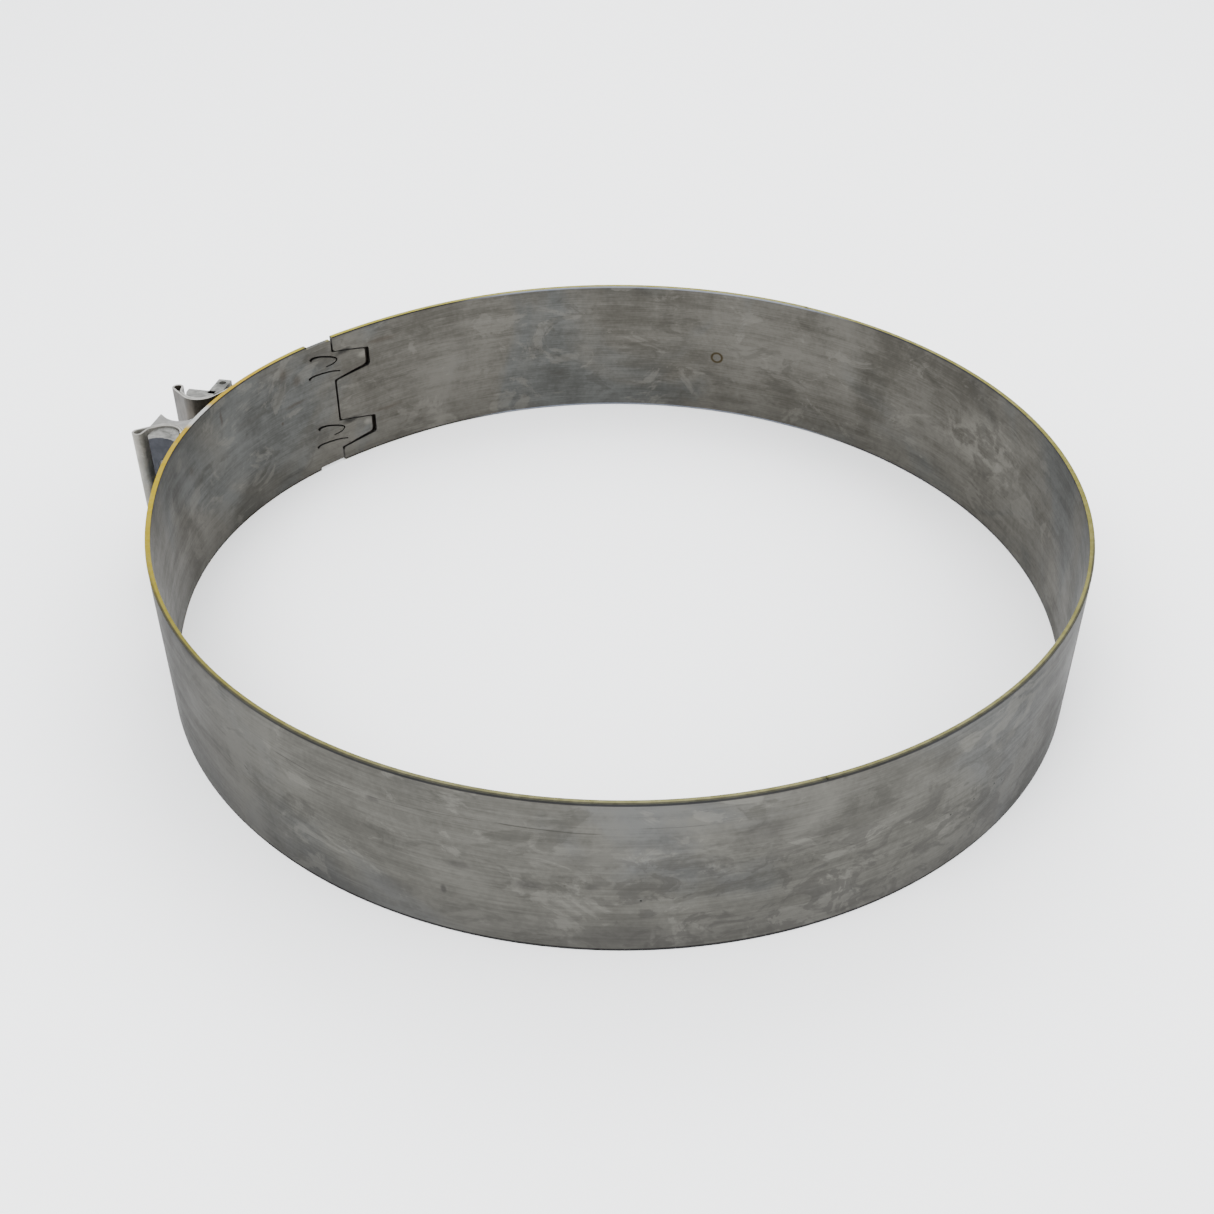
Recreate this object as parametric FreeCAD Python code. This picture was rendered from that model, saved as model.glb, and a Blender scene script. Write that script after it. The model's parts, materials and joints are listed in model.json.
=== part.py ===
import FreeCAD, Part
import math
import os

# Wide flat-band pipe clamp with a two-bolt closure.  Millimetres, +Z along the pipe.
# The origin is the centre of the bore at mid-width.  Polar angles are counter-clockwise from +X.
# The band lies round the pipe.  Its tongue end carries two tabs that sit in two notches of its
# other end, and a strap welded outside the notched end bridges that seam to the far saddle.

V = FreeCAD.Vector

# ---- band ----
pipe_radius = 140.0
band_width = 50.8
band_thickness = 1.5
flex_angle = 2.85          # place opposite the closure where the band bends as the clamp opens
flex_gap = 0.1             # cut between the two halves of the band at that place

# ---- slack bulge of the band round the closure ----
bulge_height = 3.0
bulge_angle = 158.5        # polar angle of the bulge's crown
bulge_half_span = 37.0     # degrees each side of the crown
flank_extra_radius = 40.0  # how much flatter the flanks are than the pipe

# ---- seam between the tongue and the notched end ----
seam_angle = 136.8
seam_gap = 0.75
tab_length = 13.6
tab_root_width = 11.2
tab_tip_width = 6.0
tab_pitch = 28.2
tab_top_taper = 3.0        # the rest of the taper is on the lower edge
notch_end_gap = 1.7
notch_top_gap = 0.3
notch_bottom_gap = 1.1
neck_length = 10.8         # stretch of the tongue that is narrower than the band
neck_step = 1.0
slit_width = 0.55
slit_hole_radius = 0.55
slit_height = 3.4          # line above a tab's middle that its two slits are drawn from

# ---- closure ----
closure_angle = 168.7      # outward normal of the closure; the bolts run at right angles to it
closure_offset = 19.4      # middle of the bolt gap, measured along the bolts from the bore centre
bar_spacing = 30.0         # between the axes of the two bars
bolt_height = 12.5         # bolt axes outside the pipe radius
bolt_spacing = 20.0
saddle_width = 44.0
sheet = 0.7
fold_slit = 0.1            # between the two layers of a folded saddle wall
saddle_hole_radius = 4.5
lean_angle = 38.0          # where the wall leaves the bar's back, from the bolt direction
wall_rise = 7.2
curl_radius = 1.6
curl_close_angle = 40.0
inner_layer_end = -72.0    # where the folded-back layer stops under the bar
near_leg_end = 189.0
far_leg_end = 112.0
joggle_start = 127.5
joggle_end = 130.8
strap_lift = 0.8           # the strap clears the tongue and the tabs by this much

# ---- bars and block ----
bar_radius = 4.95
bar_fit = 0.3
bar_flat = 1.3             # the flat face lies this far behind the bar's axis
bar_end_inset = 0.6        # the bars are this much shorter than the saddles at each end
lug_height = 4.6           # radial height of the far bar's end lugs
lug_length = 8.6
lug_drop = 7.0             # underside of the lugs below the bar's axis
lug_rise = 4.5             # axial length of each lug
lug_hole_radius = 1.2
lug_bevel = 0.9            # keeps the lugs' inner corner off the strap
block_waist = 2.5
block_height = 13.6
block_fit = 0.3
block_length = 43.0

# ---- fasteners, M6 ----
bolt_radius = 3.0
bolt_length = 35.0         # the tips reach just through the near bar, which is tapped for them
head_across_flats = 10.0
head_height = 4.0
washer_radius = 6.0
washer_thickness = 1.2
thread_fit = 0.05
tip_bevel = 0.8
head_face_share = 0.95     # of the across-flats, left flat on top of a head
head_chamfer = 30.0        # degrees
hole_fit = 0.4

cut_margin = 2.0           # how far a cutter reaches past what it cuts

os.makedirs("parts", exist_ok=True)


# ---- plane geometry helpers ----
def direction(degrees):
    return V(math.cos(math.radians(degrees)), math.sin(math.radians(degrees)), 0)


def line(a, b):
    return Part.LineSegment(a, b).toShape()


def arc(a, middle, b):
    return Part.Arc(a, middle, b).toShape()


def extrude(edges, low, high):
    face = Part.makeFace([Part.Wire(edges)], "Part::FaceMakerBullseye")
    face.translate(V(0, 0, low))
    return face.extrude(V(0, 0, high - low))


def joining_arcs(a, a_heading, b, b_heading):
    """Two tangent arcs from a to b that leave and arrive along the given headings."""
    gap = b - a
    both = a_heading + b_heading
    bend = 2 * (1 - a_heading.dot(b_heading))
    reach = (math.sqrt(gap.dot(both) ** 2 + bend * gap.dot(gap)) - gap.dot(both)) / bend
    corner_a = a + a_heading * reach
    corner_b = b - b_heading * reach
    join = (corner_a + corner_b) * 0.5
    return [rounded(a, corner_a, join), rounded(join, corner_b, b)]


def rounded(a, corner, b):
    """Arc from a to b whose end tangents meet at the corner."""
    middle = (a + b) * 0.5
    to_corner = (corner - a).normalize()
    cosine = to_corner.dot((b - a).normalize())
    return arc(a, middle + (corner - middle) * (cosine / (1 + cosine)), b)


def bent_sheet(edges, thickness, width):
    """Sheet of even thickness along a smooth centre line, standing on edge about mid-width."""
    left = [beside(edge, thickness / 2) for edge in edges]
    right = [beside(edge, -thickness / 2) for edge in edges]
    outline = [arc(*points) if bent else line(points[0], points[2]) for bent, points in left + right]
    outline.append(line(left[0][1][0], right[0][1][0]))
    outline.append(line(left[-1][1][2], right[-1][1][2]))
    return extrude(Part.__sortEdges__(outline), -width / 2, width / 2)


def beside(edge, offset):
    """Whether the edge is an arc, and its start, middle and end moved sideways."""
    points = []
    for share in (0, 0.5, 1):
        place = edge.FirstParameter + share * (edge.LastParameter - edge.FirstParameter)
        heading = edge.tangentAt(place)
        points.append(edge.valueAt(place) + V(-heading.y, heading.x, 0) * offset)
    return edge.Curve.TypeId == "Part::GeomCircle", points


def save(shape, name):
    shape.removeSplitter().exportStep("parts/" + name + ".step")


# ---- the ring: one main arc, two flatter flanks and a tighter crown, all tangent ----
def ring_arcs():
    """(centre, radius of the inner face) of each arc, with the polar angle where each one ends."""
    half = math.radians(bulge_half_span)
    a = flank_extra_radius
    h = bulge_height
    shrink = (h * h + 2 * a * h * math.cos(half)) / (2 * a * (1 - math.cos(half)) - 2 * h)
    crown_centre = direction(bulge_angle) * (h + shrink)
    crown_radius = pipe_radius - shrink
    low_centre = direction(bulge_angle - bulge_half_span) * -a
    high_centre = direction(bulge_angle + bulge_half_span) * -a
    low_join = crown_centre + (crown_centre - low_centre).normalize() * crown_radius
    high_join = crown_centre + (crown_centre - high_centre).normalize() * crown_radius
    flank_radius = pipe_radius + a
    return [
        (low_centre, flank_radius, bulge_angle - bulge_half_span, polar(low_join)),
        (crown_centre, crown_radius, polar(low_join), polar(high_join)),
        (high_centre, flank_radius, polar(high_join), bulge_angle + bulge_half_span),
        (V(0, 0, 0), pipe_radius, bulge_angle + bulge_half_span,
         bulge_angle - bulge_half_span + 360),
    ]


def polar(point):
    return math.degrees(math.atan2(point.y, point.x)) % 360


def ring_arc_at(angle):
    for piece in ring_arcs():
        for turn in (0, 360, -360):
            if piece[2] - 1e-9 <= angle + turn <= piece[3] + 1e-9:
                return piece
    raise ValueError(angle)


def ring_normal(angle):
    """Centre of the arc at a polar angle of the inner face, its radius, and the normal there."""
    centre, radius, _, _ = ring_arc_at(angle)
    ray = direction(angle)
    along = centre.dot(ray)
    reach = along + math.sqrt(along * along - centre.dot(centre) + radius * radius)
    return centre, radius, (ray * reach - centre).normalize()


def ring_point(angle, offset):
    centre, radius, normal = ring_normal(angle)
    return centre + normal * (radius + offset)


def ring_heading(angle):
    """Unit tangent of the ring, towards larger polar angles."""
    normal = ring_normal(angle)[2]
    return V(-normal.y, normal.x, 0)


def ring_edges(start, end, offset):
    """Edges of the ring from one polar angle to another, either way round, offset outward."""
    if start > end:
        return [reversed_arc(edge) for edge in reversed(ring_edges(end, start, offset))]
    cuts = [start]
    for piece in ring_arcs():
        for turn in (-360, 0, 360):
            if start + 1e-6 < piece[3] + turn < end - 1e-6:
                cuts.append(piece[3] + turn)
    cuts = sorted(cuts) + [end]
    edges = []
    for a, b in zip(cuts, cuts[1:]):
        centre, radius, _ = ring_normal((a + b) / 2)
        first = on_arc(centre, radius + offset, a, offset)
        last = on_arc(centre, radius + offset, b, offset)
        if b - a > 170:
            middle = centre + direction((a + b) / 2) * (radius + offset)
        else:
            middle = centre + ((first + last) * 0.5 - centre).normalize() * (radius + offset)
        edges.append(arc(first, middle, last))
    return edges


def reversed_arc(edge):
    middle = (edge.FirstParameter + edge.LastParameter) / 2
    return arc(edge.valueAt(edge.LastParameter), edge.valueAt(middle),
               edge.valueAt(edge.FirstParameter))


def on_arc(centre, radius, angle, offset):
    """Point of an offset arc on the normal through the inner face's point at a polar angle."""
    ray = direction(angle)
    inner = radius - offset
    along = centre.dot(ray)
    reach = along + math.sqrt(along * along - centre.dot(centre) + inner * inner)
    return centre + (ray * reach - centre).normalize() * radius


def band_stretch(start, end):
    inner = ring_edges(start, end, 0)
    outer = ring_edges(start, end, band_thickness)
    caps = [
        line(ring_point(start, 0), ring_point(start, band_thickness)),
        line(ring_point(end, 0), ring_point(end, band_thickness)),
    ]
    edges = Part.__sortEdges__(inner + outer + caps)
    return extrude(edges, -band_width / 2, band_width / 2)


# ---- seam geometry, drawn flat: t runs from the seam towards the notched end ----
seam_point = ring_point(seam_angle, band_thickness / 2)
seam_normal = ring_normal(seam_angle)[2]
seam_tangent = V(seam_normal.y, -seam_normal.x, 0)
seam_reach = 6.0           # how far the seam's cutters reach through the band each way


def flat_point(t, z):
    return seam_point + seam_tangent * t + V(0, 0, z)


def flat_cutter(points):
    lifted = [flat_point(t, z) - seam_normal * seam_reach for t, z in points]
    wire = Part.makePolygon(lifted + [lifted[0]])
    return Part.Face(wire).extrude(seam_normal * (2 * seam_reach))


def tab_outline(middle, end_gap, top_gap, bottom_gap, start):
    """Tab or notch profile, from t = start to the tab's end plus end_gap."""
    top = middle + tab_root_width / 2
    bottom = middle - tab_root_width / 2
    tip_top = top - tab_top_taper
    tip_bottom = tip_top - tab_tip_width
    end = tab_length + end_gap
    return [(start, bottom - bottom_gap / 2), (start, top + top_gap),
            (end, tip_top + top_gap), (end, tip_bottom - bottom_gap)]


tab_middles = [tab_pitch / 2, -tab_pitch / 2]


def slit(points):
    """Narrow lanced cut along a smooth curve in the flat, with a small hole at its start."""
    left = []
    right = []
    for i, (t, z) in enumerate(points):
        before = points[max(i - 1, 0)]
        after = points[min(i + 1, len(points) - 1)]
        run = math.hypot(after[0] - before[0], after[1] - before[1])
        side_t = -(after[1] - before[1]) / run * slit_width / 2
        side_z = (after[0] - before[0]) / run * slit_width / 2
        left.append(flat_point(t + side_t, z + side_z) - seam_normal * seam_reach)
        right.append(flat_point(t - side_t, z - side_z) - seam_normal * seam_reach)
    one = Part.BSplineCurve()
    one.interpolate(left)
    other = Part.BSplineCurve()
    other.interpolate(right)
    edges = [one.toShape(), line(left[-1], right[-1]), other.toShape(), line(right[0], left[0])]
    cut = Part.Face(Part.Wire(Part.__sortEdges__(edges))).extrude(seam_normal * (2 * seam_reach))
    start = flat_point(*points[0]) - seam_normal * seam_reach
    hole = Part.makeCylinder(slit_hole_radius, 2 * seam_reach, start, seam_normal)
    return cut.fuse(hole)


def tab_slits(middle):
    """The hooked slit at the tab's upper root corner, and the gently curved one below it."""
    top = middle + slit_height
    hooked = [(-9.9, top + 1.9), (-8.6, top + 2.5), (-5.8, top + 2.2), (-2.9, top + 1.3),
              (0.0, top + 0.1), (1.5, top - 1.0), (0.8, top - 2.0), (-1.0, top - 2.5),
              (-3.3, top - 2.6)]
    lower = [(-11.3, top - 5.1), (-9.6, top - 4.4), (-4.6, top - 4.7), (-0.6, top - 5.3),
             (2.6, top - 6.2)]
    return [slit(hooked), slit(lower)]


# ---- closure frame: out from the pipe, and along the bolts towards the far side ----
outward = direction(closure_angle)
along_bolts = V(outward.y, -outward.x, 0)
bolt_line = pipe_radius + bolt_height
bolt_levels = {"upper": bolt_spacing / 2, "lower": -bolt_spacing / 2}


def closure_point(out, along, z=0.0):
    return outward * out + along_bolts * (closure_offset + along) + V(0, 0, z)


class Side:
    """Local frame at one bar: gapward along the bolts, and outward; +1 is the far side."""

    def __init__(self, sign):
        self.sign = sign
        self.centre = closure_point(bolt_line, sign * bar_spacing / 2)
        self.gapward = along_bolts * -sign

    def at(self, gapward, out, z=0.0):
        return self.centre + self.gapward * gapward + outward * out + V(0, 0, z)

    def on_circle(self, radius, degrees):
        angle = math.radians(degrees)
        return self.at(radius * math.cos(angle), radius * math.sin(angle))

    def circle_arc(self, radius, start, end):
        return arc(self.on_circle(radius, start), self.on_circle(radius, (start + end) / 2),
                   self.on_circle(radius, end))

    def angle_of(self, point):
        v = point - self.centre
        return math.degrees(math.atan2(v.dot(outward), v.dot(self.gapward)))


near = Side(-1)
far = Side(1)
inner_layer_radius = bar_radius + bar_fit + sheet / 2
outer_layer_radius = inner_layer_radius + sheet + fold_slit


def wall_edges(side, start_angle):
    """Centre line of a saddle wall: round the bar, out to the curled tip and back again."""
    edges = [side.circle_arc(outer_layer_radius, start_angle, lean_angle)]
    heading = math.radians(lean_angle + 90)
    forward = (math.cos(heading), math.sin(heading))
    left = (-forward[1], forward[0])
    foot = math.radians(lean_angle)
    base = (outer_layer_radius * math.cos(foot), outer_layer_radius * math.sin(foot))

    def place(ahead, aside):
        return side.at(base[0] + forward[0] * ahead + left[0] * aside,
                       base[1] + forward[1] * ahead + left[1] * aside)

    close = math.radians(curl_close_angle)
    layer_step = sheet + fold_slit
    edges.append(line(place(0, 0), place(wall_rise, 0)))
    middle_turn = (math.pi + close) / 2
    loop_middle = place(wall_rise + curl_radius * math.sin(middle_turn),
                        curl_radius * (1 - math.cos(middle_turn)))
    loop_ahead = wall_rise - curl_radius * math.sin(close)
    loop_aside = curl_radius * (1 + math.cos(close))
    edges.append(arc(place(wall_rise, 0), loop_middle, place(loop_ahead, loop_aside)))
    bend = curl_radius
    bend_aside = bend * (1 - math.cos(close))
    run = (loop_aside - bend_aside - layer_step) / math.sin(close)
    turn_ahead = loop_ahead - run * math.cos(close)
    turn_aside = loop_aside - run * math.sin(close)
    edges.append(line(place(loop_ahead, loop_aside), place(turn_ahead, turn_aside)))
    end_ahead = turn_ahead - bend * math.sin(close)
    bend_middle = place(turn_ahead - bend * (math.sin(close) - math.sin(close / 2)),
                        layer_step + bend * (1 - math.cos(close / 2)))
    edges.append(arc(place(turn_ahead, turn_aside), bend_middle, place(end_ahead, layer_step)))
    edges.append(line(place(end_ahead, layer_step), place(0, layer_step)))
    edges.append(side.circle_arc(inner_layer_radius, lean_angle, inner_layer_end))
    return edges


def leg_tangent(side, offset):
    """Where the leg leaves the crown of the ring, and where it meets the circle round the bar."""
    centre, radius, _, _ = ring_arcs()[1]
    reach = radius + offset
    span = side.centre - centre
    tilt = math.degrees(math.acos((reach + outer_layer_radius) / span.Length))
    normal = direction(polar(span) - side.sign * tilt)
    return centre + normal * reach, side.centre - normal * outer_layer_radius


def bolt_holes(side, radius, length):
    holes = []
    for z in bolt_levels.values():
        start = side.at(-length / 2, 0, z)
        holes.append(Part.makeCylinder(radius, length, start, side.gapward))
    return holes


def saddle(side, leg_edges, lift):
    offset = band_thickness + lift + sheet / 2
    leaves, meets = leg_tangent(side, offset)
    edges = leg_edges + [line(leaves, meets)] + wall_edges(side, side.angle_of(meets))
    shape = bent_sheet(edges, sheet, saddle_width)
    wall_reach = 2 * (outer_layer_radius + sheet) + 4
    return shape.cut(Part.Compound(bolt_holes(side, saddle_hole_radius, wall_reach)))


def polar_of_contact(side, offset):
    """Polar angle of the inner face under the point where the leg leaves the ring."""
    leaves, _ = leg_tangent(side, offset)
    centre, radius, _, _ = ring_arcs()[1]
    return polar(centre + (leaves - centre).normalize() * radius)


# ---- band halves ----
def cut_neck(shape):
    """Narrow the tongue above and below, from the step to the tab ends."""
    reach = neck_length + tab_length + notch_end_gap
    for sign in (1, -1):
        low = sign * (band_width / 2 - neck_step)
        high = sign * (band_width / 2 + neck_step)
        corners = [(-neck_length, low), (reach, low), (reach, high), (-neck_length, high)]
        shape = shape.cut(flat_cutter(corners))
    return shape


def make_tongue_band():
    tab_angle = math.degrees((tab_length + seam_gap) / pipe_radius)
    shape = band_stretch(seam_angle - tab_angle, 360 + flex_angle - half_flex)
    half_gap = seam_gap / 2
    edge = band_width
    outlines = [tab_outline(m, 0, 0, 0, -half_gap) for m in tab_middles]
    upper, lower = outlines
    end = tab_length + seam_gap + notch_end_gap
    waste = [
        [(-half_gap, edge), (end, edge), (end, upper[2][1]), upper[2], upper[1]],
        [upper[0], upper[3], (end, upper[3][1]), (end, lower[2][1]), lower[2], lower[1]],
        [lower[0], lower[3], (end, lower[3][1]), (end, -edge), (-half_gap, -edge)],
    ]
    for outline in waste:
        shape = shape.cut(flat_cutter(outline))
    end_trim = [(tab_length, edge), (end, edge), (end, -edge), (tab_length, -edge)]
    shape = cut_neck(shape.cut(flat_cutter(end_trim)))
    for middle in tab_middles:
        for cutter in tab_slits(middle):
            shape = shape.cut(cutter)
    return shape


def make_notched_band():
    shape = band_stretch(flex_angle + half_flex, seam_angle)
    half_gap = seam_gap / 2
    edge = band_width
    trim = [(-seam_gap, edge), (half_gap, edge), (half_gap, -edge), (-seam_gap, -edge)]
    shape = shape.cut(flat_cutter(trim))
    for middle in tab_middles:
        outline = tab_outline(middle, notch_end_gap, notch_top_gap, notch_bottom_gap, -half_gap)
        shape = shape.cut(flat_cutter(outline))
    return shape


# ---- bars, block and fasteners ----
bar_half_length = saddle_width / 2 - bar_end_inset


def make_bar(side, hole_radius):
    """Half-round bar: its back sits in the saddle, its flat face looks away from the gap."""
    edges = [
        side.circle_arc(bar_radius, -90, 90),
        line(side.at(0, bar_radius), side.at(-bar_flat, bar_radius)),
        line(side.at(-bar_flat, bar_radius), side.at(-bar_flat, -bar_radius)),
        line(side.at(-bar_flat, -bar_radius), side.at(0, -bar_radius)),
    ]
    shape = extrude(Part.__sortEdges__(edges), -bar_half_length, bar_half_length)
    reach = 2 * (bar_radius + bar_flat + cut_margin)
    return shape.cut(Part.Compound(bolt_holes(side, hole_radius, reach)))


def make_far_bar():
    """The far bar also has a drilled lug at each end, which stands over the strap."""
    shape = make_bar(far, bolt_radius + hole_fit / 2)
    top = -lug_drop + lug_height
    corners = [far.at(0, top), far.at(-bar_flat - lug_length, top),
               far.at(-bar_flat - lug_length, -lug_drop),
               far.at(-bar_flat - lug_bevel, -lug_drop), far.at(0, -bar_radius)]
    hole_place = far.at(-bar_flat - lug_length + 2 * lug_hole_radius, top - lug_height / 2)
    for low in (bar_half_length - lug_rise, -bar_half_length):
        profile = Part.makePolygon(corners + [corners[0]])
        lug = extrude(profile.Edges, low, low + lug_rise)
        start = hole_place + V(0, 0, low - cut_margin)
        hole = Part.makeCylinder(lug_hole_radius, lug_rise + 2 * cut_margin, start, V(0, 0, 1))
        shape = shape.fuse(lug.cut(hole))
    return shape


def make_block():
    """Reaction block, hollowed on both faces so that either saddle nests in it."""
    hollow = outer_layer_radius + sheet / 2 + block_fit
    lean = math.radians(lean_angle)
    half = block_height / 2
    mouth = (hollow - half * math.sin(lean)) / math.cos(lean)
    bend_along = hollow * math.cos(lean)
    bend_out = hollow * math.sin(lean)
    across = 2 * hollow + block_waist      # a gapward distance g mirrors to across - g
    near_side = [(mouth, half), (bend_along, bend_out), (hollow, 0),
                 (bend_along, -bend_out), (mouth, -half)]
    a = [near.at(g, out) for g, out in near_side]
    b = [near.at(across - g, out) for g, out in near_side]
    edges = [line(a[0], a[1]), arc(a[1], a[2], a[3]), line(a[3], a[4]), line(a[4], b[4]),
             line(b[4], b[3]), arc(b[3], b[2], b[1]), line(b[1], b[0]), line(b[0], a[0])]
    shape = extrude(edges, -block_length / 2, block_length / 2)
    return shape.cut(Part.Compound(bolt_holes(near, bolt_radius + hole_fit, 2 * across)))


def hexagon(start, axis, across_flats, height):
    radius = across_flats / math.sqrt(3)
    up = V(0, 0, 1)
    side_way = axis.cross(up)
    points = []
    for i in range(7):
        angle = math.radians(60 * i)
        points.append(start + up * (radius * math.sin(angle)) + side_way * (radius * math.cos(angle)))
    return Part.Face(Part.makePolygon(points)).extrude(axis * height)


def chamfered_hexagon(start, axis, across_flats, height):
    """Hexagon whose outer corners are turned off by a shallow cone."""
    body = hexagon(start, axis, across_flats, height)
    corner = across_flats / math.sqrt(3)
    tip_radius = across_flats / 2 * head_face_share
    slope = (corner - tip_radius) * math.tan(math.radians(head_chamfer))
    lower = Part.makeCylinder(corner + cut_margin, height - slope, start, axis)
    cap = Part.makeCone(corner, tip_radius, slope, start + axis * (height - slope), axis)
    return body.common(lower.fuse(cap))


def ring_washer(start, axis):
    outer = Part.makeCylinder(washer_radius, washer_thickness, start, axis)
    hole = Part.makeCylinder(bolt_radius + hole_fit / 2, washer_thickness, start, axis)
    return outer.cut(hole)


def make_bolt(z):
    seat = far.at(-bar_flat - washer_thickness, 0, z)
    head = chamfered_hexagon(seat, along_bolts, head_across_flats, head_height)
    shank = Part.makeCylinder(bolt_radius, bolt_length - tip_bevel, seat, along_bolts * -1)
    tip_place = seat - along_bolts * (bolt_length - tip_bevel)
    tip = Part.makeCone(bolt_radius, bolt_radius - tip_bevel, tip_bevel, tip_place, along_bolts * -1)
    return head.fuse(shank).fuse(tip)


half_flex = math.degrees(flex_gap / 2 / pipe_radius)

save(make_tongue_band(), "tongue_band")
save(make_notched_band(), "notched_band")

near_offset = band_thickness + sheet / 2
near_contact = polar_of_contact(near, near_offset)
near_leg = ring_edges(near_leg_end, near_contact, near_offset)
save(saddle(near, near_leg, 0), "near_saddle")

far_offset = near_offset + strap_lift
far_contact = polar_of_contact(far, far_offset)
strap = ring_edges(far_leg_end, joggle_start, near_offset)
strap += joining_arcs(ring_point(joggle_start, near_offset), ring_heading(joggle_start),
                      ring_point(joggle_end, far_offset), ring_heading(joggle_end))
strap += ring_edges(joggle_end, far_contact, far_offset)
save(saddle(far, strap, strap_lift), "far_saddle")

save(make_bar(near, bolt_radius + thread_fit), "near_bar")
save(make_far_bar(), "far_bar")
save(make_block(), "reaction_block")

for level, z in bolt_levels.items():
    save(make_bolt(z), "bolt_" + level)
    head_seat = far.at(-bar_flat, 0, z)
    save(ring_washer(head_seat, along_bolts), "head_washer_" + level)
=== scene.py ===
import json
import math

import bmesh
import bpy
import numpy as np
from mathutils import Matrix, Vector
from mathutils.geometry import delaunay_2d_cdt


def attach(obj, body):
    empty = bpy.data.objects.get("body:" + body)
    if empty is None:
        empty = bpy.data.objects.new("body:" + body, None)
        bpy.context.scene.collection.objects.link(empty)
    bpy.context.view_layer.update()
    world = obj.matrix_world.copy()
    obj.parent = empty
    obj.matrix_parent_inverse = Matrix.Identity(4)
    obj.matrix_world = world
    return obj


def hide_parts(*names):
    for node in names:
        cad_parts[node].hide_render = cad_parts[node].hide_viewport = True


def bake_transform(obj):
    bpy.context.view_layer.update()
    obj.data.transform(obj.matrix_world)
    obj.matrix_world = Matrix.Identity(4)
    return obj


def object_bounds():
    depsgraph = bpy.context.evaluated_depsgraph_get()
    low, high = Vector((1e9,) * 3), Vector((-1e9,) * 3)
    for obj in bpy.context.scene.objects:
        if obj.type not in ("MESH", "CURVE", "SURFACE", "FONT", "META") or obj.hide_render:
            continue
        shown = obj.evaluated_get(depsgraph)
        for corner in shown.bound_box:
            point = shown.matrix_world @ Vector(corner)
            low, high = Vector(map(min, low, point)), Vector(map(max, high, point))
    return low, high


MM = 0.001

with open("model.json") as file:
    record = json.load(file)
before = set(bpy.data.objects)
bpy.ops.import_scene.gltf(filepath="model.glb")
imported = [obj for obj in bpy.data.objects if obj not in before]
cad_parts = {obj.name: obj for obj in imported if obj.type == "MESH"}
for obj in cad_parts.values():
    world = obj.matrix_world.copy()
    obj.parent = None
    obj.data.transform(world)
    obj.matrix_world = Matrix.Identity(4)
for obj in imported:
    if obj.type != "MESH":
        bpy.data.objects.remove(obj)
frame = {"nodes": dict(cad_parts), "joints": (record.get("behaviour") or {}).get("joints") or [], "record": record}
cad_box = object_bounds()

# ---- sizes shared with the design, in millimetres; angles are polar, in degrees ----
# BAND_HALF, BAND_SHEET and CURL_RADIUS are a hair under the design, so facets stay near its box
BAND_HALF = cad_box[1][2] / MM - 0.001
PIPE_RADIUS = next(m for m in frame["record"]["mounts"] if m["name"] == "pipe_bore")["dims"]["r_mm"]
BAND_THICKNESS = 1.5
BAND_SHEET = 1.497
BULGE_HEIGHT = 3.0
BULGE_ANGLE = 158.5
BULGE_HALF_SPAN = 37.0
FLANK_EXTRA = 40.0
SEAM_ANGLE = 136.8
SEAM_GAP = 0.75
TAB_LENGTH = 13.6
TAB_ROOT = 11.2
TAB_TIP = 6.0
TAB_TOP_TAPER = 3.0
TAB_MIDDLES = (14.1, -14.1)
NOTCH_END_GAP = 1.7
NOTCH_TOP_GAP = 0.15
NOTCH_BOTTOM_GAP = 1.1
NECK_LENGTH = 10.8
NECK_STEP = 1.0
SLIT_HALF_WIDTH = 0.34
SLIT_HEIGHT = 3.4
SHEET = 0.7
LAYER_STEP = 0.8
SADDLE_HALF = 22.0
SADDLE_HOLE = 4.5
OUTER_LAYER = 6.4
INNER_LAYER = 5.6
LEAN = 38.0
WALL_RISE = 7.2
CURL_RADIUS = 1.59
CURL_CLOSE = 40.0
INNER_END = -72.0
NEAR_LEG_END = 189.0
FAR_LEG_END = 112.0
JOGGLE = (127.5, 130.8)
STRAP_LIFT = 0.8
BOLT_GAP_MIDDLE = 19.4
BAR_SPACING = 30.0
BOLT_LINE = PIPE_RADIUS + 12.5
BOLT_LEVEL = 10.0
FLEX_LOW = 290.0
FLEX_HIGH = 420.0
BOLT_RADIUS = 3.0
THREAD_PITCH = 1.0
THREAD_STEPS = 40
THREAD_ROWS = 6
THREAD_DEPTH = 0.55
SHANK_RADIUS = 2.98
BEYOND_SEAM = 8.0
CORNER_STEPS = 4
LONGEST_STEP = 1.6
EDGE_CLEARANCE = 0.3
CUT_CLEARANCE = 0.25
SHEET_BEVEL = 0.12
SHARP_ANGLE = math.radians(50)


# ---- paths in the plane ----
def unit(degrees):
    return np.array([math.cos(math.radians(degrees)), math.sin(math.radians(degrees))])


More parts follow.
